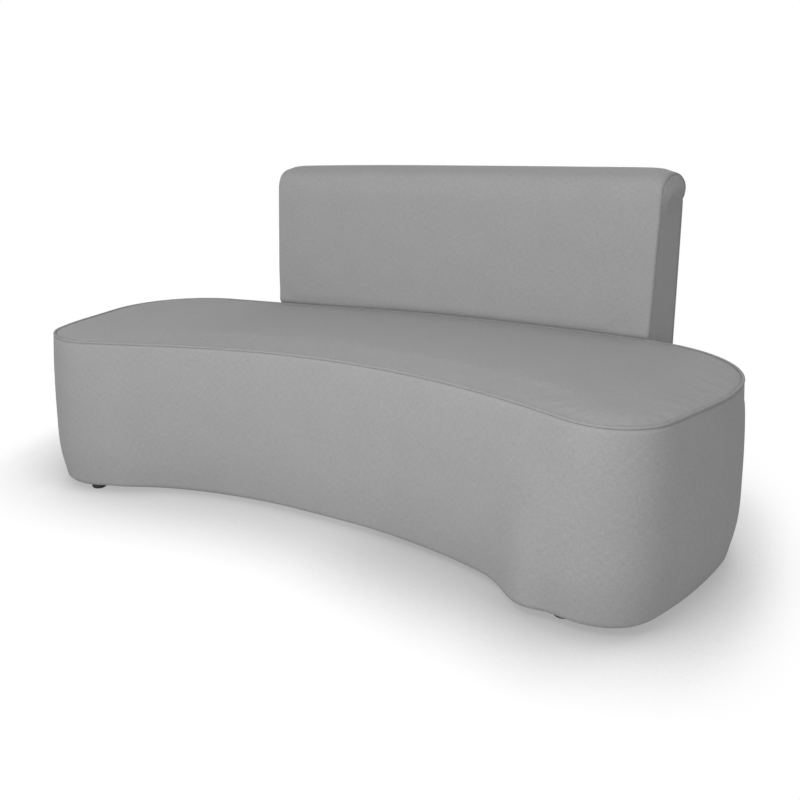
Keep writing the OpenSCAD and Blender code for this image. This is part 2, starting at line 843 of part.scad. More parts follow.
foot_front_left();
foot_front_right();
foot_rear_left();
foot_rear_right();
foot_back_left();
foot_back_right();
foot_screws();
dust_cover();
bottom_ring_front();
bottom_ring_rear();
bottom_ring_left();
bottom_ring_right();
top_ring_front();
top_ring_rear();
top_ring_left();
top_ring_right();
front_posts();
rear_posts();
left_posts();
right_posts();
bottom_rails();
top_rails();
frame_screws();
skin_front();
skin_left();
skin_right();
skin_rear();
long_webbing();
cross_webbing();
seat_foam();
seat_topper();
wall_foam_front();
wall_foam_left();
wall_foam_right();
wall_foam_rear();
seat_cover();
wall_cover();
wall_cover_rear();
seat_welt();
back_sole();
back_panel();
back_ribs();
back_top_rail();
back_front_board();
back_rear_board();
back_foam();
back_roll();
back_wadding();
back_side_foam_left();
back_side_foam_right();
back_cover();
back_outside_cover();
back_gusset_left();
back_gusset_right();
back_bolts();
back_washers();
back_inserts();
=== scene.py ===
import math

import bmesh
import bpy
import numpy as np
from mathutils import Matrix, Vector, geometry


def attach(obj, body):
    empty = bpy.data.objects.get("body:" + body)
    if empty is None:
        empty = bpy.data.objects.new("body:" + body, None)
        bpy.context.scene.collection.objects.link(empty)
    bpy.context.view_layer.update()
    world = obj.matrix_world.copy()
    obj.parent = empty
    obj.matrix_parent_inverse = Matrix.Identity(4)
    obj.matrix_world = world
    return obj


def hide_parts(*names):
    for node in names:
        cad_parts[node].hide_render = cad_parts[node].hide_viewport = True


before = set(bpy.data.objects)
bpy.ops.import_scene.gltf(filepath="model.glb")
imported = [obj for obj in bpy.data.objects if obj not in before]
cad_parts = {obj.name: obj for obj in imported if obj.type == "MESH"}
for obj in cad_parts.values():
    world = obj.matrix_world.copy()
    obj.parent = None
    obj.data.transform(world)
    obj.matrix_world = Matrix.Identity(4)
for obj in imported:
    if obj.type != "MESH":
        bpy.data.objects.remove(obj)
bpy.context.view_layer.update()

# Camera. It stands in front of the sofa's right half at the height of a person's
# chest and looks down a little, as the photograph does.
eye = Vector((0.939, -1.8346, 0.891))
heading = Vector((-0.5277, 0.8494, 0.0)).normalized()
looks_down = math.radians(13.02)
leans = math.radians(-1.15)
lens_mm = 36.11
sensor_mm = 36.0
frame_shift = (0.111, -0.0874)
sideways = Vector((heading.y, -heading.x, 0.0))
ahead = math.cos(looks_down) * heading - Vector((0, 0, math.sin(looks_down)))
upright = math.sin(looks_down) * heading + Vector((0, 0, math.cos(looks_down)))
cam_x = math.cos(leans) * sideways + math.sin(leans) * upright
cam_y = math.cos(leans) * upright - math.sin(leans) * sideways
camera = bpy.data.objects.new("camera", bpy.data.cameras.new("camera"))
bpy.context.scene.collection.objects.link(camera)
turned_to = Matrix((cam_x, cam_y, -ahead)).transposed().to_4x4()
camera.matrix_world = Matrix.Translation(eye) @ turned_to
camera.data.lens = lens_mm
camera.data.sensor_width = sensor_mm
camera.data.shift_x, camera.data.shift_y = frame_shift
bpy.context.scene.camera = camera
bpy.context.scene.view_settings.view_transform = "Standard"


# Studio floor and light: a white floor that runs into a white surround, an even sky, a
# large lamp low in front, a small one over the seat for the backrest, a weak one behind.
def new_material(name):
    made = bpy.data.materials.new(name)
    made.use_nodes = True
    made.node_tree.nodes.clear()
    return made, made.node_tree


def node(tree, kind, links=(), **values):
    """Adds a node; values name its attributes or its input sockets, links its wires in."""
    made = tree.nodes.new(kind)
    for key, value in values.items():
        if hasattr(made, key):
            setattr(made, key, value)
        else:
            made.inputs[key.replace("_", " ")].default_value = value
    for socket, source in links:
        tree.links.new(source, made.inputs[socket])
    return made


def seen_directly(tree):
    """1 on rays from the camera, mirrors and glass, 0 on the light itself."""
    path = node(tree, "ShaderNodeLightPath")
    seen = path.outputs["Is Camera Ray"]
    for kind in ("Is Glossy Ray", "Is Transmission Ray"):
        seen = node(tree, "ShaderNodeMath", [(0, seen), (1, path.outputs[kind])],
                    operation="MAXIMUM").outputs[0]
    return seen


def eased_range(tree, value, across, given=(0.0, 1.0), links=()):
    """Takes a value from one range to another, slow at both ends."""
    return node(tree, "ShaderNodeMapRange", [("Value", value), *links],
                interpolation_type="SMOOTHSTEP", From_Min=across[0], From_Max=across[1],
                To_Min=given[0], To_Max=given[1])


floor_half = 14.0
floor_drop = 0.0004
floor_bounce, floor_shade = 0.55, 0.25
contact_reach, contact_samples = 0.42, 12
contact_range, contact_full = (0.45, 0.96), 0.85
contact_across, contact_least = (0.0, 0.25), (0.41, 0.33)
spread_across, spread_power = (0.42, 0.64), (1.0, 1.35)
shade_lean = Vector((0.20, 0.02, 1.0)).normalized()
halo_shift, halo_scale = (0.06, 0.0, 0.0), (1.0, 1 / 1.4, 1.0)
halo_range = (0.96, 1.12)
floor_mesh = bpy.data.meshes.new("floor")
floor_mesh.from_pydata([(x * floor_half, y * floor_half, -floor_drop)
                        for x, y in ((-1, -1), (1, -1), (1, 1), (-1, 1))], [], [(0, 1, 2, 3)])
floor = bpy.data.objects.new("floor", floor_mesh)
bpy.context.scene.collection.objects.link(floor)
floor_paint, tree = new_material("floor_white")
dull = node(tree, "ShaderNodeBsdfDiffuse", Color=(floor_bounce,) * 3 + (1,))
matt = node(tree, "ShaderNodeBsdfDiffuse", Color=(floor_shade,) * 3 + (1,))
place = node(tree, "ShaderNodeTexCoord")
across = node(tree, "ShaderNodeSeparateXYZ", [(0, place.outputs["Object"])])
# The shade on the floor comes from how open the air over each place is. It is darker and
# reaches wider at the right.
least = eased_range(tree, across.outputs["X"], contact_across, contact_least)
lean = node(tree, "ShaderNodeCombineXYZ", X=shade_lean.x, Y=shade_lean.y, Z=shade_lean.z)
contact = node(tree, "ShaderNodeAmbientOcclusion", [("Normal", lean.outputs[0])],
               Distance=contact_reach, samples=contact_samples)
spread = eased_range(tree, across.outputs["X"], spread_across, spread_power)
wider = node(tree, "ShaderNodeMath", [(0, contact.outputs["AO"]), (1, spread.outputs[0])],
             operation="POWER")
open_air = eased_range(tree, wider.outputs[0], contact_range, (0.0, contact_full),
                       [("To Min", least.outputs[0])])
glow = node(tree, "ShaderNodeEmission", [("Strength", open_air.outputs[0])], Color=(1, 1, 1, 1))
brighter = node(tree, "ShaderNodeAddShader", [(0, matt.outputs[0]), (1, glow.outputs[0])])
# Far from the sofa the floor turns as white as the surround.
centred = node(tree, "ShaderNodeVectorMath", [(0, place.outputs["Object"])], operation="ADD")
centred.inputs[1].default_value = halo_shift
squeeze = node(tree, "ShaderNodeVectorMath", [(0, centred.outputs[0])], operation="MULTIPLY")
squeeze.inputs[1].default_value = halo_scale
distance = node(tree, "ShaderNodeVectorMath", [(0, squeeze.outputs[0])], operation="LENGTH")
halo = eased_range(tree, distance.outputs["Value"], halo_range)
white = node(tree, "ShaderNodeEmission", Color=(1, 1, 1, 1), Strength=1.0)
shown = node(tree, "ShaderNodeMixShader", [(0, halo.outputs[0]), (1, brighter.outputs[0]),
                                           (2, white.outputs[0])])
floor_look = node(tree, "ShaderNodeMixShader", [(0, seen_directly(tree)), (1, dull.outputs[0]),
                                                (2, shown.outputs[0])])
node(tree, "ShaderNodeOutputMaterial", [("Surface", floor_look.outputs[0])])
floor_mesh.materials.append(floor_paint)

sky_strength = 0.49
world = bpy.data.worlds.new("surround")
world.use_nodes = True
bpy.context.scene.world = world
tree = world.node_tree
tree.nodes.clear()
level = node(tree, "ShaderNodeMapRange", [("Value", seen_directly(tree))], To_Min=sky_strength,
             To_Max=1.0)
sky = node(tree, "ShaderNodeBackground", [("Strength", level.outputs[0])], Color=(1, 1, 1, 1))
node(tree, "ShaderNodeOutputWorld", [("Surface", sky.outputs[0])])

# Each lamp: where it stands, what it is aimed at, its width and its watts.
lamps = {"front_lamp": ((1.08, -4.95, 1.25), (0.1, 0.0, 0.35), 2.2, 86.0),
         "backrest_lamp": ((0.22, -1.4, 1.5), (0.1, 0.3, 0.62), 0.8, 11.1),
         "rear_lamp": ((-1.0, 6.5, 2.4), (0.0, 0.0, 0.4), 3.0, 80.0)}
for lamp_name, (place_at, aim, width, watts) in lamps.items():
    light = bpy.data.lights.new(lamp_name, "AREA")
    light.shape, light.size, light.energy = "DISK", width, watts
    lamp = bpy.data.objects.new(lamp_name, light)
    bpy.context.scene.collection.objects.link(lamp)
    lamp.location = place_at
    lamp.rotation_euler = (Vector(aim) - Vector(place_at)).to_track_quat("-Z", "Y").to_euler()
    lamp.visible_camera = False


# Glide feet: six black moulded plastic discs with a bevelled lower edge, each held by
# one zinc-plated wood screw in a recess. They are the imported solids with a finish.
def surface(tree, bump, **values):
    """The one surface of a material; values name its sockets."""
    made = node(tree, "ShaderNodeBsdfPrincipled", [("Normal", bump)])
    for key, value in values.items():
        socket = made.inputs[key.replace("_", " ")]
        if isinstance(value, bpy.types.NodeSocket):
            tree.links.new(value, socket)
        else:
            socket.default_value = value
    node(tree, "ShaderNodeOutputMaterial", [("Surface", made.outputs[0])])


def object_space(tree, scale=(1, 1, 1)):
    coords = node(tree, "ShaderNodeTexCoord")
    return node(tree, "ShaderNodeMapping", [("Vector", coords.outputs["Object"])],
                Scale=scale).outputs[0]


def noise(tree, vector, scale, detail=3.0, rough=0.5):
    return node(tree, "ShaderNodeTexNoise", [("Vector", vector)], Scale=scale, Detail=detail,
                Roughness=rough).outputs["Fac"]


def shades(tree, value, dark, light, low=0.3, high=0.7):
    ramp = node(tree, "ShaderNodeValToRGB", [("Fac", value)])
    ramp.color_ramp.elements[0].position, ramp.color_ramp.elements[1].position = low, high
    ramp.color_ramp.elements[0].color = (*dark, 1)
    ramp.color_ramp.elements[1].color = (*light, 1)
    return ramp.outputs["Color"]


def relief(tree, height, depth, strength):
    return node(tree, "ShaderNodeBump", [("Height", height)], Distance=depth,
                Strength=strength).outputs["Normal"]


def dress(material, names):
    for name in names:
        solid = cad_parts[name]
        solid.data.materials.clear()
        solid.data.materials.append(material)


glide_black, tree = new_material("glide_black")
grain = noise(tree, object_space(tree), 900.0)
surface(tree, relief(tree, grain, depth=0.0002, strength=0.5),
        Base_Color=shades(tree, noise(tree, object_space(tree), 60.0), (0.010, 0.010, 0.010),
                          (0.018, 0.018, 0.018)), Roughness=0.45)
dress(glide_black, ["foot_front_left", "foot_front_right", "foot_rear_left", "foot_rear_right",
                    "foot_back_left", "foot_back_right"])
zinc, tree = new_material("zinc_plate")
brushed = noise(tree, object_space(tree, (300, 300, 40)), 1.0)
surface(tree, relief(tree, brushed, depth=0.00005, strength=0.6),
        Base_Color=shades(tree, brushed, (0.50, 0.51, 0.53), (0.66, 0.67, 0.68)),
        Metallic=1.0, Roughness=0.34)
dress(zinc, ["foot_screws", "frame_screws", "back_bolts", "back_washers", "back_inserts"])


# Base frame and backrest frame: rings, sole, ribs and rails of plywood whose plies show
# on the cut edges, posts and rails of sawn pine, and a bent skin of brown fibreboard.
ply_wave = 0.0014     # a light and a dark ply together take 2 pi of this, 8.8 mm
plywood, tree = new_material("plywood")
face = noise(tree, object_space(tree, (6, 60, 6)), 1.0, detail=4.0)
plies = node(tree, "ShaderNodeTexWave", [("Vector", object_space(tree))], bands_direction="Z",
             Scale=1 / (20 * ply_wave), Distortion=0.6)
facing = node(tree, "ShaderNodeSeparateXYZ",
              [(0, node(tree, "ShaderNodeNewGeometry").outputs["Normal"])])
level_face = node(tree, "ShaderNodeMath", [(0, facing.outputs["Z"])], operation="ABSOLUTE")
edge_look = shades(tree, plies.outputs["Fac"], (0.36, 0.22, 0.11), (0.66, 0.49, 0.30))
face_look = shades(tree, face, (0.52, 0.37, 0.21), (0.70, 0.53, 0.33))
mixed = node(tree, "ShaderNodeMix", [("Factor", level_face.outputs[0]), (6, edge_look),
                                     (7, face_look)], data_type="RGBA")
surface(tree, relief(tree, face, depth=0.0003, strength=0.4), Base_Color=mixed.outputs[2],
        Roughness=0.68)
dress(plywood, ["bottom_ring_front", "bottom_ring_rear", "bottom_ring_left", "bottom_ring_right",
                "top_ring_front", "top_ring_rear", "top_ring_left", "top_ring_right",
                "back_sole", "back_panel", "back_ribs", "back_top_rail"])
pine, tree = new_material("sawn_pine")
rings = noise(tree, object_space(tree, (70, 70, 3)), 1.0, detail=5.0)
surface(tree, relief(tree, rings, depth=0.0004, strength=0.5),
        Base_Color=shades(tree, rings, (0.55, 0.33, 0.15), (0.78, 0.58, 0.36)), Roughness=0.72)
dress(pine, ["front_posts", "rear_posts", "left_posts", "right_posts", "bottom_rails", "top_rails"])
fibreboard, tree = new_material("fibreboard")
flecks = noise(tree, object_space(tree), 380.0, detail=4.0, rough=0.7)
surface(tree, relief(tree, flecks, depth=0.0002, strength=0.4),
        Base_Color=shades(tree, flecks, (0.17, 0.09, 0.045), (0.27, 0.16, 0.085)), Roughness=0.6)
dress(fibreboard, ["skin_front", "skin_left", "skin_right", "skin_rear",
                   "back_front_board", "back_rear_board"])


# Elastic belts under the seat: black woven strips with pale edge threads, tacked to the
# top ring in two layers.
belt_black, tree = new_material("belt_black")
ribs = node(tree, "ShaderNodeTexWave", [("Vector", object_space(tree))],
            bands_direction="DIAGONAL", Scale=90.0)
surface(tree, relief(tree, ribs.outputs["Fac"], depth=0.0004, strength=0.6),
        Base_Color=shades(tree, ribs.outputs["Fac"], (0.012, 0.012, 0.014), (0.045, 0.045, 0.05)),
        Roughness=0.8)
dress(belt_black, ["long_webbing", "cross_webbing"])


# Dust cover: thin black lining across the underside, turned in at its edge and stapled
# to the floor ring just inside the wall cloth's hem. It sags a little in the middle.
mm = 0.001
seat_mid_depth = 585 * mm
rear_arc_r, front_arc_r, end_arc_r = 3830 * mm, 1340 * mm, 1730 * mm
corner_r, corner_x = 271 * mm, 590 * mm
lobe_r, lobe_x = 125 * mm, 656 * mm
back_depth, back_left_x = 199 * mm, 470 * mm
swell, tuck_in, tuck_h = 9 * mm, 3.5 * mm, 24 * mm
pad_t, cloth_t = 18 * mm, 1.5 * mm
base_z = 16 * mm
lobe_y_up = math.sqrt((front_arc_r + lobe_r) ** 2 - lobe_x ** 2)
lobe_drop = seat_mid_depth + front_arc_r - lobe_y_up + lobe_r
rear_y = (lobe_drop + swell + cloth_t - back_depth) / 2
rear_c = np.array([0.0, rear_y - rear_arc_r])
corner_c = np.array([corner_x, rear_c[1] + math.sqrt((rear_arc_r - corner_r) ** 2 - corner_x ** 2)])
front_c = np.array([0.0, rear_y - seat_mid_depth - front_arc_r])
lobe_c = np.array([lobe_x, front_c[1] + lobe_y_up])
side_len = float(np.linalg.norm(lobe_c - corner_c))
side_u = (lobe_c - corner_c) / side_len
end_a = ((end_arc_r - corner_r) ** 2 - (end_arc_r - lobe_r) ** 2 + side_len ** 2) / (2 * side_len)
end_c = corner_c + end_a * side_u + math.sqrt((end_arc_r - corner_r) ** 2 - end_a ** 2) * np.array(
    [side_u[1], -side_u[0]])


def bearing(a, b):
    return math.atan2(b[1] - a[1], b[0] - a[0])


rear_a = bearing(rear_c, corner_c)
back_left_a = math.pi / 2 + math.asin(back_left_x / rear_arc_r)


def seat_outline(step):
    """Stations [centre x, centre y, radius, bearing, side] clockwise round the seat from
    the middle of its rear, and the distance run to each along the outline."""
    corner_a, lobe_a = bearing(end_c, corner_c), bearing(end_c, lobe_c)
    front_a = bearing(front_c, lobe_c)
    arcs = [(rear_c, rear_arc_r, math.pi / 2, rear_a, 1), (corner_c, corner_r, rear_a, corner_a, 1),
            (end_c, end_arc_r, corner_a, lobe_a, 1), (lobe_c, lobe_r, lobe_a, front_a - math.pi, 1),
            (front_c, front_arc_r, front_a, math.pi / 2, -1)]
    half = []
    for centre, radius, a0, a1, side in arcs:
        count = max(3, round(abs(a1 - a0) * radius / step))
        half += [[*centre, radius, a, side] for a in np.linspace(a0, a1, count, endpoint=False)]
    half.append([*front_c, front_arc_r, math.pi / 2, -1])
    other = [[-x, y, r, math.pi - a, side] for x, y, r, a, side in half[-2:0:-1]]
    stations = np.array(half + other)
    points = beside(stations, 0.0)
    run = np.linalg.norm(np.roll(points, -1, 0) - points, axis=1)
    return stations, np.concatenate([[0.0], np.cumsum(run)])


def beside(stations, out):
    """The points a distance out of the outline at each station."""
    reach = stations[:, 2] + stations[:, 4] * out
    return np.stack([stations[:, 0] + reach * np.cos(stations[:, 3]),
                     stations[:, 1] + reach * np.sin(stations[:, 3])], axis=1)


def add_piece(name, points, faces, material, uv=None):
    """A smooth mesh object with outward faces; uv gives a pair for each face's corner."""
    mesh = bpy.data.meshes.new(name)
    mesh.from_pydata([tuple(p) for p in points], [], [tuple(f) for f in faces])
    if uv is not None:
        layer = mesh.uv_layers.new(name="UVMap")
        layer.data.foreach_set("uv", np.asarray(uv, np.float32).ravel())
    shape = bmesh.new()
    shape.from_mesh(mesh)
    bmesh.ops.remove_doubles(shape, verts=shape.verts, dist=1e-6)
    bmesh.ops.dissolve_degenerate(shape, edges=shape.edges, dist=1e-6)
    bmesh.ops.recalc_face_normals(shape, faces=shape.faces)
    for f in shape.faces:
        f.smooth = True
    shape.to_mesh(mesh)
    shape.free()
    mesh.materials.append(material)
    piece = bpy.data.objects.new(name, mesh)
    bpy.context.scene.collection.objects.link(piece)
    return piece


def nearest(points, loop):
    """How far each point lies from the nearest point of a loop."""
    gap = np.full(len(points), 1e9)
    for p in loop:
        gap = np.minimum(gap, np.hypot(*(points - p).T))
    return gap


def filled(loop, pitch, row_share=0.87, clear_share=0.6):
    """Triangles that fill a closed loop of points on a flat, over an even lattice that
    keeps clear of the loop by a share of its pitch."""
    low, high = loop.min(0), loop.max(0)
    xs, ys = np.arange(low[0], high[0], pitch), np.arange(low[1], high[1], pitch * row_share)
    lattice = np.array([(x + (pitch / 2 if k % 2 else 0), y) for k, y in enumerate(ys) for x in xs])
    inside = np.zeros(len(lattice), bool)
    for p, q in zip(loop, np.roll(loop, -1, 0)):
        crosses = (p[1] > lattice[:, 1]) != (q[1] > lattice[:, 1])
        with np.errstate(divide="ignore", invalid="ignore"):
            at = (q[0] - p[0]) * (lattice[:, 1] - p[1]) / (q[1] - p[1]) + p[0]
        inside ^= crosses & (lattice[:, 0] < at)
    lattice = lattice[inside & (nearest(lattice, loop) > pitch * clear_share)]
    n = len(loop)
    found = geometry.delaunay_2d_cdt(
        [Vector(p) for p in np.vstack([loop, lattice])],
        [(i, (i + 1) % n) for i in range(n)], [], 1, 1e-7)
    return np.array(found[0])[:, :2], [list(f) for f in found[2]], n


def two_sided(tris, n_loop, count):
    """Faces of a sheet with two skins of count points each, joined round their loop."""
    rim = [[i, (i + 1) % n_loop, (i + 1) % n_loop + count, i + count] for i in range(n_loop)]
    return tris + [[i + count for i in f] for f in tris] + rim


lining_in = 36.3 * mm
lining_low, lining_t = 14.7 * mm, 0.8 * mm
lining_sag, sag_reach, sag_power = 1.2 * mm, 120 * mm, 0.7
ripple_h, ripple_reach, ripples_x, ripples_y = 0.25 * mm, 60 * mm, 61, 47
lining_step, lining_pitch = 18 * mm, 26 * mm
stations, run = seat_outline(lining_step)
loop = beside(stations, -lining_in)
flat, tris, n_loop = filled(loop, lining_pitch)
edge_gap = nearest(flat, loop)
dips = lining_sag * np.clip(edge_gap / sag_reach, 0, 1) ** sag_power
ripple = (ripple_h * np.sin(flat[:, 0] * ripples_x) * np.sin(flat[:, 1] * ripples_y)
          * np.clip(edge_gap / ripple_reach, 0, 1))
lower = np.column_stack([flat, lining_low - dips + ripple])
upper = lower + [0, 0, lining_t]
lining_black, tree = new_material("lining_black")
felt = noise(tree, object_space(tree), 700.0, detail=4.0, rough=0.7)
surface(tree, relief(tree, felt, depth=0.0002, strength=0.7),
        Base_Color=shades(tree, felt, (0.010, 0.010, 0.010), (0.030, 0.030, 0.030)), Roughness=0.95)
dust_cover = add_piece("dust_cover_lining", np.vstack([lower, upper]),
                       two_sided(tris, n_loop, len(flat)), lining_black)
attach(dust_cover, "root")
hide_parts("dust_cover")


# Padded wall: foam on the bent skin, covered with grey woven cloth that is sewn to the
# welt above, swells over the foam and is rolled in and stapled under the base.
thread = 1.15 * mm
cloth_grey, cloth_dark, cloth_light = 0.33, 0.86, 1.14
slubs_along, slubs_across, mottle_scale = 90, 640, 11


def woven(name, turn=0.0, share=1.0):
    """Plain-woven cloth read from a UV map in metres, with slubs along both threads."""
    made, tree = new_material(name)

    def math_node(operation, *values):
        n = node(tree, "ShaderNodeMath", operation=operation)
        for k, value in enumerate(values):
            if isinstance(value, bpy.types.NodeSocket):
                tree.links.new(value, n.inputs[k])
            else:
                n.inputs[k].default_value = value
        return n.outputs[0]

    coords = node(tree, "ShaderNodeTexCoord")
    mapping = node(tree, "ShaderNodeMapping", [("Vector", coords.outputs["UV"])],
                   Rotation=(0, 0, turn))
    split = node(tree, "ShaderNodeSeparateXYZ", [(0, mapping.outputs[0])])
    sines = [math_node("SINE", math_node("MULTIPLY", split.outputs[k], math.pi / thread))
             for k in "XY"]
    over = math_node("MULTIPLY", sines[0], sines[1])
    # Each thread is a rounded ridge that shows where it passes over the other one.
    warp, weft = (math_node("MULTIPLY", math_node("ABSOLUTE", sine),
                            math_node("MULTIPLY_ADD", over, way, 0.5))
                  for sine, way in zip(sines, (0.5, -0.5)))

    def streaks(along, across):
        stretch = node(tree, "ShaderNodeMapping", [("Vector", mapping.outputs[0])],
                       Scale=(along, across, 1))
        return noise(tree, stretch.outputs[0], 1.0, detail=2.0)

    slubs = math_node("ADD", math_node("MULTIPLY", streaks(slubs_along, slubs_across), 0.5),
                      math_node("MULTIPLY", streaks(slubs_across, slubs_along), 0.5))
    mottle = streaks(mottle_scale, mottle_scale)
    height = math_node("ADD", math_node("MAXIMUM", warp, weft), math_node("MULTIPLY", slubs, 1.2))
    tone = math_node("ADD", math_node("MULTIPLY", slubs, 0.9), math_node("MULTIPLY", mottle, 0.1))
    # A share below 1 darkens the whole cloth; the welt uses this as painted shade.
    dark, light = cloth_grey * share * cloth_dark, cloth_grey * share * cloth_light
    surface(tree, relief(tree, height, depth=0.00022, strength=0.55),
            Base_Color=shades(tree, tone, (dark,) * 3, (light,) * 3, 0.30, 0.70),
            Roughness=0.93, Specular_IOR_Level=0.18, Sheen_Weight=0.12, Sheen_Roughness=0.5)
    return made


cloth = woven("grey_cloth")


def flowing(points, step, per_span=24):
    """A smooth line through points, sampled about every step along it."""
    p = np.asarray(points, float)
    p = np.vstack([2 * p[0] - p[1], p, 2 * p[-1] - p[-2]])
    t = np.concatenate([[0], np.cumsum(np.sqrt(np.linalg.norm(np.diff(p, axis=0), axis=1)))])
    out = []
    for i in range(1, len(p) - 2):
        t0, t1, t2, t3 = t[i - 1:i + 3]
        for x in np.linspace(t1, t2, per_span, endpoint=False):
            a1 = (t1 - x) / (t1 - t0) * p[i - 1] + (x - t0) / (t1 - t0) * p[i]
            a2 = (t2 - x) / (t2 - t1) * p[i] + (x - t1) / (t2 - t1) * p[i + 1]
            a3 = (t3 - x) / (t3 - t2) * p[i + 1] + (x - t2) / (t3 - t2) * p[i + 2]
            b1 = (t2 - x) / (t2 - t0) * a1 + (x - t0) / (t2 - t0) * a2
            b2 = (t3 - x) / (t3 - t1) * a2 + (x - t1) / (t3 - t1) * a3
            out.append((t2 - x) / (t2 - t1) * b1 + (x - t1) / (t2 - t1) * b2)
    out = np.vstack([out, p[-2]])
    s = np.concatenate([[0], np.cumsum(np.linalg.norm(np.diff(out, axis=0), axis=1))])
    want = np.linspace(0, s[-1], max(2, round(s[-1] / step) + 1))
    return np.column_stack([np.interp(want, s, out[:, k]) for k in range(out.shape[1])])


def eased(x):
    x = np.clip(x, 0, 1)
    return x * x * (3 - 2 * x)


def lengths(line):
    return np.concatenate([[0], np.cumsum(np.linalg.norm(np.diff(line, axis=0), axis=1))])


def weave_grid(places, u, v, round_u=False, round_v=True):
    """Faces and UVs of a grid of points [column, row]; u and v are metres on the cloth."""
    n, m = places.shape[:2]
    i, j = np.meshgrid(np.arange(n if round_u else n - 1), np.arange(m if round_v else m - 1),
                       indexing="ij")
    i, j = i.ravel(), j.ravel()
    k, l = (i + 1) % n, (j + 1) % m
    faces = np.stack([i * m + j, k * m + j, k * m + l, i * m + l], axis=1)
    uv = np.stack([u[i], v[j], u[i + 1], v[j], u[i + 1], v[j + 1], u[i], v[j + 1]], axis=1)
    return faces.tolist(), uv.reshape(-1, 2)


def plump(piece, is_held, pressure, most, slack=0.0, fade=None, frames=20):
    """Lets the cloth settle over its filling by simulation, held at its seams, and keeps
    the movement under a limit; fade gives the share of it that is kept at each place."""
    mesh = piece.data
    start = np.empty(len(mesh.vertices) * 3)
    mesh.vertices.foreach_get("co", start)
    start = start.reshape(-1, 3)
    group = piece.vertex_groups.new(name="held")
    group.add([int(i) for i in np.nonzero(is_held(start))[0]], 1.0, "REPLACE")
    cloth_sim = piece.modifiers.new("Cloth", "CLOTH")
    settings = cloth_sim.settings
    settings.quality = 6
    settings.mass = 0.35
    settings.tension_stiffness = settings.compression_stiffness = 22
    settings.shear_stiffness = 8
    settings.bending_stiffness = 0.6
    settings.vertex_group_mass = "held"
    settings.use_pressure = True
    settings.uniform_pressure_force = pressure
    settings.shrink_min = -slack
    settings.effector_weights.gravity = 0
    cloth_sim.collision_settings.use_collision = False
    scene = bpy.context.scene
    for f in range(1, frames + 1):
        scene.frame_set(f)
    settled = piece.evaluated_get(bpy.context.evaluated_depsgraph_get())
    moved = np.empty(len(settled.data.vertices) * 3)
    settled.data.vertices.foreach_get("co", moved)
    move = moved.reshape(-1, 3) - start
    far = np.linalg.norm(move, axis=1, keepdims=True)
    move *= most * np.tanh(far / most) / np.maximum(far, 1e-9)
    if fade is not None:
        move *= fade(start)[:, None]
    piece.modifiers.remove(cloth_sim)
    piece.vertex_groups.remove(group)
    scene.frame_set(1)
    mesh.vertices.foreach_set("co", (start + move).ravel())
    mesh.update()


tuck_z = base_z + tuck_h
seat_h, topper_t, seat_foam_t = 408 * mm, 9.5 * mm, 50 * mm
welt_r = 3.1 * mm
welt_z = seat_h - welt_r
wall_top_z = welt_z - welt_r
core_top_z = wall_top_z - topper_t
hem_in = 36 * mm
hem_w, swell_w = -tuck_in + cloth_t, swell + tuck_in
wall_step, wall_pitch = 9 * mm, 8.5 * mm
# [distance out of the outline, height] up the outside: the turned-in hem, the corner, the
# swell by shares of its width and height, and the seam under the welt.
wall_rows = flowing([
    (-hem_in, base_z - cloth_t), (-pad_t - 4 * mm, base_z - cloth_t),
    (-pad_t + 2 * mm, base_z - cloth_t / 2), (-tuck_in - 3.2 * mm, base_z + 5 * mm),
    (hem_w, tuck_z),
    *[(hem_w + out * swell_w, tuck_z + up * (core_top_z - tuck_z))
      for out, up in ((0.85, 0.19), (0.90, 0.47), (0.64, 0.77))],
    (hem_w + 0.19 * swell_w, core_top_z), (-0.8 * mm, wall_top_z + 0.6 * mm)], wall_pitch)
wall_inner = np.array([
    (-welt_r - cloth_t, wall_top_z - 0.6 * mm), (-9 * mm, core_top_z),
    *[(-pad_t, z) for z in (core_top_z - 1 * mm, 0.30, 0.20, 0.10, base_z + 1 * mm)],
    (-hem_in, base_z)])
stations, run = seat_outline(wall_step)
back_right_run = (math.pi / 2 - rear_a) * rear_arc_r
back_left_run = run[-1] - (back_left_a - math.pi / 2) * rear_arc_r
flat_ease = 100 * mm
flatness = np.maximum(1 - eased((run[:-1] - back_right_run) / flat_ease),
                      1 - eased((back_left_run - run[:-1]) / flat_ease))
flatness[(run[:-1] < back_right_run) | (run[:-1] > back_left_run)] = 1.0
section = np.vstack([wall_rows, wall_inner])
out_w = np.tile(section[:, 0], (len(stations), 1))
hem_ease = 6 * mm
above_hem = eased((wall_rows[:, 1] - base_z + cloth_t) / hem_ease)
out_w[:, :len(wall_rows)] *= 1 - flatness[:, None] * above_hem
bulge_top = 0.36
# Low bulges and hollows of the wall: (place, half width, power of its bell, distance out,
# power of its fall with the height).
bulges = [((0.538, -0.4560), 0.075, 2, 51 * mm, 1.36), ((-0.530, -0.420), 0.075, 2, 17 * mm, 1.3),
          ((0.874, -0.129), 0.260, 4, 7 * mm, 0.45), ((-0.792, -0.304), 0.057, 2, -5 * mm, 2.0),
          ((0.002, -0.315), 0.200, 2, 14 * mm, 1.5), ((0.600, -0.448), 0.033, 2, -13.5 * mm, 3.5)]
# Where the seat's edge stands above or below its level height, and where the cloth lies in
# or out of the outline: (place, half width, amount).
lifts = [((-0.798, -0.409), 0.200, 12 * mm), ((0.175, -0.330), 0.540, 5.3 * mm),
         ((0.862, -0.170), 0.120, -2.3 * mm), ((-0.400, 0.290), 0.300, -5 * mm)]
slacks = [((-0.692, -0.311), 0.085, -8 * mm), ((0.866, -0.165), 0.100, 5 * mm)]
lift_from_z = 0.15
proud_wall_share, proud_from_z, proud_ease_h = 0.5, 0.08, 0.16


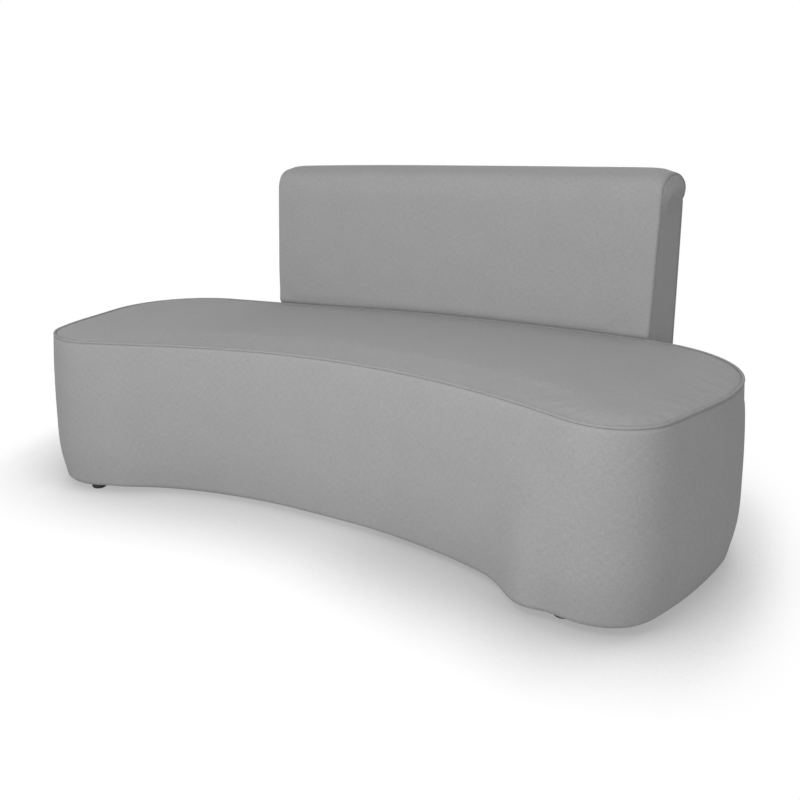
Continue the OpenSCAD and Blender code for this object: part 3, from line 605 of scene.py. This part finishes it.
def bell(places, middle, half_width, power=2):
    away = np.linalg.norm(places[:, :2] - middle, axis=1)
    return np.exp(-(away / half_width) ** power)


def edge_lift(places):
    """How far the seat and its edge stand above their level height at each place."""
    return sum(amount * bell(places, middle, half_width)
               for middle, half_width, amount in lifts)


def corner_slack(stations):
    """How far the cloth lies out of the outline: drawn in round the left front corner and
    a little proud at the right end."""
    outline = beside(stations, 0.0)
    return sum(amount * bell(outline, middle, half_width)
               for middle, half_width, amount in slacks)


wall_line = beside(stations, 0.0)
for middle, half_width, power, amount, low_power in bulges:
    reach = amount * bell(wall_line, middle, half_width, power)
    low_share = np.clip((bulge_top - wall_rows[:, 1]) / bulge_top, 1e-6, 1) ** low_power
    out_w[:, :len(wall_rows)] += reach[:, None] * low_share * above_hem
drawn = corner_slack(stations)[:, None]
high_share = proud_wall_share * eased((wall_rows[:, 1] - proud_from_z) / proud_ease_h)
out_w[:, :len(wall_rows)] += np.where(drawn < 0, drawn * above_hem, drawn * high_share)
places = np.zeros((len(stations), len(section), 3))
for row, (w, z) in enumerate(section):
    places[:, row, :2] = beside(stations, out_w[:, row])
    lifted = eased((z - lift_from_z) / (wall_top_z - lift_from_z))
    places[:, row, 2] = z + edge_lift(places[:, row]) * lifted
around = np.concatenate([lengths(section), [lengths(section)[-1] + 2 * mm]])
faces, uv = weave_grid(places, run, around, round_u=True)
wall_pad = add_piece("wall_upholstery", places.reshape(-1, 3), faces, cloth, uv)
held_low, held_high = base_z + 8 * mm, core_top_z - 6 * mm


def wall_held(p):
    return (p[:, 2] < held_low) | (p[:, 2] - edge_lift(p) > held_high)


plump(wall_pad, wall_held, pressure=1.5, most=1.5 * mm)
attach(wall_pad, "root")
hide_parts("wall_cover", "wall_cover_rear", "wall_foam_front", "wall_foam_left",
            "wall_foam_right", "wall_foam_rear")


# Seat: a foam slab with a soft topper under one piece of the same cloth, crowned towards
# its middle and sewn down at the welt all round.
crown_h, crown_reach = 8 * mm, 104 * mm
crown_power = 2.6
seat_under_z = core_top_z - seat_foam_t
seam_in = 5.6 * mm


def crown(inward):
    return crown_h * (1 - (1 - np.clip((inward - seam_in) / crown_reach, 0, 1)) ** crown_power)


seam_sunk, seam_rise, seam_rise_reach = 1.2 * mm, 2.6 * mm, 7 * mm
foam_w = -pad_t - 0.3 * mm
border = np.concatenate([[seam_in, 6.6 * mm, 8.2 * mm, 10.5 * mm],
                         np.arange(14 * mm, 112 * mm, 7 * mm)])
# [distance out of the outline, height]: up the foam's side, over its edge to the seam, and
# inwards over the top.
rows = [(foam_w, seat_under_z), (foam_w, core_top_z - 24 * mm), (foam_w, core_top_z - 1 * mm),
        (-9.4 * mm, core_top_z + 0.3 * mm), (-seam_in + 0.4 * mm, wall_top_z)]
rows += [(-x, welt_z - seam_sunk + crown(x) + seam_rise * eased((x - seam_in) / seam_rise_reach))
         for x in border]
seat_step, top_pitch, under_pitch = 6 * mm, 11 * mm, 30 * mm
pucker_h, pucker_in, pucker_reach = 0.9 * mm, 9 * mm, 14 * mm
pucker_rows = range(6, 14)


def puckers(s, inside):
    """How far small gathers at the seam pull the cloth down, s along it and inside it."""
    waves = (np.sin(s * 97 + 2.1 * np.sin(s * 13)) * np.sin(s * 41 + 1.3)
             * (0.6 + 0.4 * np.sin(s * 7)))
    depth = np.exp(-((inside - pucker_in) / pucker_reach) ** 2)
    return pucker_h * np.clip(waves + 0.25, 0, 1) * depth


stations, run = seat_outline(seat_step)
n, m = len(stations), len(rows)
places = np.zeros((n, m, 3))
for row, (w, z) in enumerate(rows):
    near_edge = (1 - eased((-w - seam_in) / crown_reach)) * (row > 2)
    places[:, row, :2] = beside(stations, w + corner_slack(stations) * near_edge)
    places[:, row, 2] = z + edge_lift(places[:, row]) * (row > 1)
    if row in pucker_rows:
        places[:, row, 2] -= puckers(run[:-1], -w - seam_in)
faces, _ = weave_grid(places, run, np.zeros(m + 1), round_u=True, round_v=False)
points = places.reshape(-1, 3)
for row, pitch in ((m - 1, top_pitch), (0, under_pitch)):
    w, z = rows[row]
    flat, tris, n_loop = filled(beside(stations, w), pitch)
    ids = [i * m + row if i < n_loop else len(points) + i - n_loop for i in range(len(flat))]
    inner = flat[n_loop:]
    heights = z + edge_lift(inner) * (row > 1)
    points = np.vstack([points, np.column_stack([inner, heights])])
    faces += [[ids[i] for i in f] for f in tris]
uv = np.array([points[i, :2] for f in faces for i in f])
seat_pad = add_piece("seat_upholstery", points, faces, cloth, uv)


def seat_held(p):
    return p[:, 2] - edge_lift(p) < welt_z + 0.2 * mm


plump(seat_pad, seat_held, pressure=1.2, most=4 * mm, slack=0.004)
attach(seat_pad, "root")
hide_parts("seat_foam", "seat_topper", "seat_cover")


# Welt: a cord wrapped in cloth cut on the bias, sewn into the seam between the seat's
# cloth and the wall's all the way round.
# Its cloth is the seat's and wall's cloth painted 7 percent darker, a painted shade that keeps the
# cord's lit top from showing as a light line.
welt_cloth_painted_shade = woven("welt_cloth_painted_shade", turn=math.pi / 4, share=0.93)


def path_tree(name, sockets):
    tree = bpy.data.node_groups.new(name, "GeometryNodeTree")
    tree.interface.new_socket("Geometry", in_out="INPUT", socket_type="NodeSocketGeometry")
    for label, kind in sockets:
        tree.interface.new_socket(label, in_out="INPUT", socket_type=kind)
    tree.interface.new_socket("Geometry", in_out="OUTPUT", socket_type="NodeSocketGeometry")
    return tree, tree.nodes.new("NodeGroupInput"), tree.nodes.new("NodeGroupOutput")


def painted(tree, given, result, geometry):
    """Ends a node tree: real faces, in the finish that the tree is given."""
    real = node(tree, "GeometryNodeRealizeInstances", [("Geometry", geometry)])
    paint = node(tree, "GeometryNodeSetMaterial", [("Geometry", real.outputs["Geometry"]),
                                                   ("Material", given.outputs["Finish"])])
    tree.links.new(paint.outputs["Geometry"], result.inputs["Geometry"])


def path_object(name, points):
    """A closed path through points."""
    curve = bpy.data.curves.new(name, "CURVE")
    curve.dimensions = "3D"
    spline = curve.splines.new("POLY")
    spline.points.add(len(points) - 1)
    spline.points.foreach_set("co", np.column_stack([points, np.ones(len(points))]).ravel())
    spline.use_cyclic_u = True
    made = bpy.data.objects.new(name, curve)
    bpy.context.scene.collection.objects.link(made)
    return made


def as_plain_mesh(name, path, tree, inputs):
    """Runs a node tree on a path and keeps its result as a plain mesh piece."""
    modifier = path.modifiers.new("build", "NODES")
    modifier.node_group = tree
    for item in tree.interface.items_tree:
        if item.in_out == "INPUT" and item.name in inputs:
            modifier[item.identifier] = inputs[item.name]
    done = path.evaluated_get(bpy.context.evaluated_depsgraph_get())
    mesh = bpy.data.meshes.new_from_object(done)
    mesh.name = name
    piece = bpy.data.objects.new(name, mesh)
    bpy.context.scene.collection.objects.link(piece)
    path.modifiers.remove(modifier)
    bpy.data.objects.remove(path)
    return piece


welt_sides, welt_step = 14, 10 * mm
tree, given, result = path_tree("welt_cord", [
    ("Radius", "NodeSocketFloat"), ("Sides", "NodeSocketInt"), ("Finish", "NodeSocketMaterial")])
ring = node(tree, "GeometryNodeCurvePrimitiveCircle", [("Radius", given.outputs["Radius"]),
                                                       ("Resolution", given.outputs["Sides"])])
spans = []
for source in (given.outputs["Geometry"], ring.outputs["Curve"]):
    where = node(tree, "GeometryNodeSplineParameter")
    keep = node(tree, "GeometryNodeCaptureAttribute", domain="POINT")
    keep.capture_items.new("FLOAT", "run")
    tree.links.new(source, keep.inputs["Geometry"])
    tree.links.new(where.outputs["Length"], keep.inputs["run"])
    spans.append(keep)
tube = node(tree, "GeometryNodeCurveToMesh", [("Curve", spans[0].outputs["Geometry"]),
                                              ("Profile Curve", spans[1].outputs["Geometry"])])
pair = node(tree, "ShaderNodeCombineXYZ", [("X", spans[0].outputs["run"]),
                                           ("Y", spans[1].outputs["run"])])
store = node(tree, "GeometryNodeStoreNamedAttribute", [("Geometry", tube.outputs["Mesh"]),
                                                       ("Value", pair.outputs[0])],
             data_type="FLOAT2", domain="CORNER", Name="UVMap")
soft = node(tree, "GeometryNodeSetShadeSmooth", [("Geometry", store.outputs["Geometry"])])
painted(tree, given, result, soft.outputs["Geometry"])
welt_stations, _ = seat_outline(welt_step)
welt_line = beside(welt_stations, corner_slack(welt_stations) - welt_r)
welt_line = np.column_stack([welt_line, welt_z + edge_lift(welt_line)])
welt = as_plain_mesh("seat_welt_cord", path_object("welt_path", welt_line), tree,
                     {"Radius": welt_r, "Sides": welt_sides, "Finish": welt_cloth_painted_shade})
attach(welt, "root")
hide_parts("seat_welt")


# Backrest front: foam and a soft roll along the top under one piece of cloth, which is
# tucked behind the seat, drawn round both ends and sewn to the side pieces.
front_gap = 0.3 * mm
back_h, roll_h = 824 * mm, 72 * mm
rake_in, lean_in = 9.5 * mm, 27 * mm
back_foam_t, wadding_t = 52 * mm, 10 * mm
skin_t = 3 * mm
roll_proud, roll_fuller = 13 * mm, 7.5 * mm
roll_z = back_h - roll_h
frame_top_z = back_h - roll_h / 2


def board_d(z):
    """Depth of the rear board's front face behind the seat's rear edge."""
    rib_rear = back_depth - cloth_t - wadding_t - skin_t
    return rib_rear - lean_in * (z - base_z) / (roll_z - base_z)


roll_d = (board_d(roll_z) + skin_t + wadding_t + cloth_t + roll_proud + roll_fuller - front_gap
          - rake_in)
# The roll's section in shares of its depth and height, from its front over the top.
roll_shares = [(0.0, 0.0), (0.025, 0.42), (0.10, 0.74), (0.23, 0.93), (0.42, 1.0), (0.62, 0.965),
               (0.79, 0.84), (0.91, 0.64), (0.98, 0.40), (1.0, 0.18), (0.985, 0.0), (0.945, -0.13),
               (0.90, -0.19)]
crease_z = wall_top_z - back_foam_t / 4
back_pitch, back_step = 8 * mm, 9 * mm
# [depth behind the seat's edge, height]: up from the crease over the lip of cloth that lies
# on the seat, up the leaning front and round the roll.
front_line = flowing(
    [(front_gap, crease_z), (front_gap, seat_h + 0.2 * mm), (-4.5 * mm, seat_h + 1.6 * mm),
     (-7.2 * mm, seat_h + 4.2 * mm), (-7.8 * mm, seat_h + 9 * mm), (-5.5 * mm, seat_h + 40 * mm),
     (-2.6 * mm, seat_h + 95 * mm), (2.0 * mm, seat_h + 190 * mm),
     (6.6 * mm, seat_h + 285 * mm)]
    + [(front_gap + rake_in + roll_d * d, roll_z + roll_h * z) for d, z in roll_shares],
    back_pitch)
front_board_d = front_gap + back_foam_t
inner_line = np.array([
    (board_d(roll_z) + skin_t, roll_z), (board_d(frame_top_z) + skin_t, frame_top_z),
    (board_d(frame_top_z) - 40 * mm, frame_top_z), (front_board_d + 30 * mm, frame_top_z),
    *[(front_board_d, z) for z in (frame_top_z, 0.72, 0.64, 0.56, 0.48, crease_z)]])
edge_round, edge_turns = 8.5 * mm, 8
seam_lip, seam_deep = 1.2 * mm, 3 * mm
end_drop, end_drop_reach = 8 * mm, 34 * mm
smooth_lip, lip_fade = 5 * mm, 240 * mm
lip_rise, lip_hold, lip_ease, sunk_ease = 20 * mm, 20 * mm, 90 * mm, 60 * mm
right_drop, right_drop_from = 7 * mm, 0.15
rear_round_share = 0.4
back_width = (back_left_a - rear_a) * rear_arc_r


def inward(line):
    """Unit normals of an open section line, to the right of its run."""
    d = np.gradient(line, axis=0)
    d /= np.linalg.norm(d, axis=1, keepdims=True)
    return np.column_stack([d[:, 1], -d[:, 0]])


def end_columns(radius, pitch):
    """Columns [inset, offset] from the left end of the backrest to its right end."""
    turn = [(seam_deep, radius + seam_lip), (0.8 * mm, radius + 0.8 * mm)]
    turn += [(radius * (1 - math.sin(a)), radius * (1 - math.cos(a)))
             for a in np.linspace(math.pi / 2, 0, edge_turns)[:-1]]
    span = back_width - 2 * radius
    middle = [(radius + x, 0.0) for x in np.linspace(0, span, round(span / pitch) + 1)]
    return np.array(turn + middle + [(back_width - t, o) for t, o in turn[::-1]])


def behind(inset, d):
    """The plan point at an inset from the left end and a depth behind the seat's edge."""
    a = back_left_a - inset / rear_arc_r
    return np.stack([rear_c[0] + (rear_arc_r + d) * np.cos(a),
                     rear_c[1] + (rear_arc_r + d) * np.sin(a)], -1)


def swept_pad(name, outer, inner, radius, pitch, share, shift=None):
    """A closed pad along the backrest; its outer side rounds over at both ends by a
    share of the radius at each point of its line."""
    columns = end_columns(radius, pitch)
    normal = inward(outer) * share[:, None]
    rows = []
    for t, o in columns:
        shifted = outer + normal * o
        if shift is not None:
            shifted += shift(t, outer[:, 1])
        rows.append(np.vstack([shifted, inner]))
    section = np.array(rows)
    inset = np.repeat(columns[:, :1], section.shape[1], axis=1)
    inset[:, len(outer):] = np.clip(inset[:, len(outer):], seam_deep, back_width - seam_deep)
    places = np.concatenate([behind(inset, section[:, :, 0]), section[:, :, 1:]], axis=2)
    along = np.concatenate([[0], np.cumsum(np.hypot(*np.diff(columns, axis=0).T))])
    whole = np.vstack([outer, inner])
    up = np.concatenate([lengths(whole), [lengths(whole)[-1] + 1 * mm]])
    faces, uv = weave_grid(places, along, up)
    m = section.shape[1]
    last = (len(columns) - 1) * m
    caps = [list(range(m)), [last + j for j in range(m)]]
    cap_uv = [(section[0, j, 0], section[0, j, 1]) for j in range(m)] * 2
    return add_piece(name, places.reshape(-1, 3), faces + caps, cloth, np.vstack([uv, cap_uv]))


def roll_drop(t, z):
    """How far the roll's top lies below its full height, at t from its left end."""
    near_end = end_drop * (1 - eased(min(t, back_width - t) / end_drop_reach))
    to_the_right = right_drop * eased((t / back_width - right_drop_from) / (1 - right_drop_from))
    return (near_end + to_the_right) * eased((z - roll_z) / roll_h)


def front_shift(t, z):
    """The roll's drop, the lip's, which follows the seat, and the lip drawn in towards the
    left end."""
    lip = eased((z - crease_z) / lip_rise) * (1 - eased((z - seat_h - lip_hold) / lip_ease))
    sunk = edge_lift(behind(t, 0.0)[None, :]) * (1 - eased((z - seat_h) / sunk_ease))
    return np.column_stack([smooth_lip * (1 - eased(t / lip_fade)) * lip, sunk - roll_drop(t, z)])


front_round_to, round_ease = 40 * mm, 90 * mm
front_share = 1 - (1 - rear_round_share) * eased((front_line[:, 0] - front_round_to) / round_ease)
back_pad = swept_pad("backrest_upholstery", front_line, inner_line, edge_round, back_step,
                     front_share, front_shift)
held_end, end_fade_reach = 7 * mm, 55 * mm


def depth_behind(p):
    return np.hypot(p[:, 0] - rear_c[0], p[:, 1] - rear_c[1]) - rear_arc_r


def from_end(p):
    """How far each point lies from the backrest's nearer end."""
    inset = (back_left_a - np.arctan2(p[:, 1] - rear_c[1], p[:, 0] - rear_c[0])) * rear_arc_r
    return np.minimum(inset, back_width - inset)


def back_held(p):
    """The sewn ends, the inner side on the frame, the crease and the tuck under the roll."""
    d, z = depth_behind(p), p[:, 2]
    on_board = np.abs(d - front_board_d) < 1 * mm
    on_top = (np.abs(z - frame_top_z) < 1 * mm) & (d > 30 * mm) & (
        d < board_d(frame_top_z) + 4 * mm)
    crease, tuck = z < seat_h + 14 * mm, (d > 100 * mm) & (z < roll_z + 8 * mm)
    return (from_end(p) < held_end) | on_board | on_top | crease | tuck


def end_fade(p):
    return eased((from_end(p) - held_end) / end_fade_reach)


plump(back_pad, back_held, pressure=1.5, most=3.5 * mm, slack=0.003, fade=end_fade)
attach(back_pad, "root")
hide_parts("back_cover", "back_foam", "back_roll")


# Backrest rear: a plain outside cloth over wadding on the rear board, pulled down from
# under the roll and stapled beneath the sole.
rear_hem = 40 * mm
rear_top_z = roll_z - 15 * mm
rear_fuller = 5 * mm
rear_d = skin_t + wadding_t + cloth_t + rear_fuller
rear_pitch, rear_step = 12 * mm, 16 * mm
rear_line = flowing([
    (board_d(rear_top_z) + rear_d - 5 * mm, rear_top_z + 9 * mm),
    (board_d(rear_top_z) + rear_d - 1 * mm, rear_top_z - 5 * mm),
    (board_d(0.70) + rear_d, 0.70), (board_d(0.40) + rear_d + 1 * mm, 0.40),
    (board_d(0.10) + rear_d, 0.10), (board_d(0.034) + rear_d, 0.034),
    (board_d(base_z) + skin_t + 6 * mm, base_z + 1.5 * mm),
    (board_d(base_z) + skin_t, base_z - cloth_t), (board_d(base_z) - rear_hem, base_z - cloth_t)],
    rear_pitch)[::-1]
rear_inner = np.array([*[(board_d(z) + skin_t, z) for z in (rear_top_z, 0.5, 0.25, base_z)],
                       (board_d(base_z) - rear_hem, base_z)])
rear_round, rear_share = 4 * mm, 0.35
# The line runs upwards, so a share below 0 turns its ends in towards the board.
rear_pad = swept_pad("backrest_rear_cover", rear_line, rear_inner, rear_round, rear_step,
                     np.full(len(rear_line), -rear_share))
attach(rear_pad, "root")
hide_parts("back_outside_cover", "back_wadding")


# Backrest sides: one flat piece of cloth over thin foam at each end, sewn along the
# front's rounded edge and along the rear cloth.
seam_lap = 0.6 * mm
side_front = front_line + inward(front_line) * (front_share[:, None] * edge_round + seam_lap)
side_rear = (rear_line - inward(rear_line) * (rear_share * rear_round + seam_lap))[::-1]
side_rear = side_rear[(side_rear[:, 1] > base_z + 2 * mm) & (side_rear[:, 1] < rear_top_z - 2 * mm)]
side_low = base_z - cloth_t + 1 * mm
side_pitch = 12 * mm
side_foot = [(front_gap + 0.5 * mm, z) for z in np.linspace(side_low, crease_z - 1 * mm, 33)]
side_under = [(d, side_low) for d in np.arange(side_rear[-1, 0] - 1 * mm,
                                               side_foot[0][0] + side_pitch / 2, -side_pitch)]
side_proud, roll_end_proud = 0.7 * mm, 18 * mm
side_ease, roll_end_ease, roll_end_reach = 25 * mm, 25 * mm, 60 * mm
# Each side piece is a closed outline, filled flat, whose outer skin swells away from its seams
# and most at the roll's end.
for side_name, left in (("left", True), ("right", False)):
    lowered = side_front.copy()
    lowered[:, 1] -= roll_drop(0.0 if left else back_width, front_line[:, 1])
    side_outline = np.vstack([side_foot, lowered[lowered[:, 1] > crease_z], side_rear, side_under])
    flat, tris, n_loop = filled(side_outline, side_pitch)
    gap = nearest(flat, side_outline)
    high_up = eased((flat[:, 1] - roll_z + roll_end_reach) / (2 * roll_end_reach))
    outer_in = (1.3 * mm - 0.8 * mm * high_up
                - (side_proud + roll_end_proud * high_up)
                * eased(gap / (side_ease + roll_end_ease * high_up)))
    outer_in[:n_loop] = 1.5 * mm - 1.0 * mm * high_up[:n_loop]
    layers = []
    for inset in (outer_in, np.full(len(flat), seam_deep + 0.1 * mm)):
        t = inset if left else back_width - inset
        layers.append(np.column_stack([behind(t, flat[:, 0]), flat[:, 1]]))
    faces = two_sided(tris, n_loop, len(flat))
    uv = np.array([flat[i % len(flat)] for f in faces for i in f])
    side_piece = add_piece("backrest_side_" + side_name, np.vstack(layers), faces, cloth, uv)
    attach(side_piece, "root")
    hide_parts("back_gusset_" + side_name, "back_side_foam_" + side_name)


# Staples: flat wire staples every few centimetres through the dust cover's turned edge
# into the floor ring.
staple_pitch, staple_w, staple_wire = 42 * mm, 10 * mm, 0.7 * mm
staple_in, staple_step = 5 * mm, 12 * mm
tree, given, result = path_tree("staple_row", [
    ("Pitch", "NodeSocketFloat"), ("Width", "NodeSocketFloat"), ("Wire", "NodeSocketFloat"),
    ("Finish", "NodeSocketMaterial")])
spaced = node(tree, "GeometryNodeResampleCurve", [("Curve", given.outputs["Geometry"]),
                                                  ("Length", given.outputs["Pitch"])],
              mode="LENGTH")
bar_size = node(tree, "ShaderNodeCombineXYZ", [
    ("X", given.outputs["Width"]), ("Y", given.outputs["Wire"]), ("Z", given.outputs["Wire"])])
crown_bar = node(tree, "GeometryNodeMeshCube", [("Size", bar_size.outputs[0])])
facing_on = node(tree, "GeometryNodeInputTangent")
turned = node(tree, "FunctionNodeAlignRotationToVector", [("Vector", facing_on.outputs[0])],
              axis="X")
put = node(tree, "GeometryNodeInstanceOnPoints", [
    ("Points", spaced.outputs["Curve"]), ("Instance", crown_bar.outputs["Mesh"]),
    ("Rotation", turned.outputs["Rotation"])])
painted(tree, given, result, put.outputs["Instances"])
staple_stations, _ = seat_outline(staple_step)
staple_line = np.column_stack([beside(staple_stations, -lining_in - staple_in),
                               np.full(len(staple_stations), lining_low - 0.3 * mm)])
staples = as_plain_mesh("dust_cover_staples", path_object("staple_path", staple_line), tree,
                        {"Pitch": staple_pitch, "Width": staple_w, "Wire": staple_wire,
                         "Finish": zinc})
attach(staples, "root")
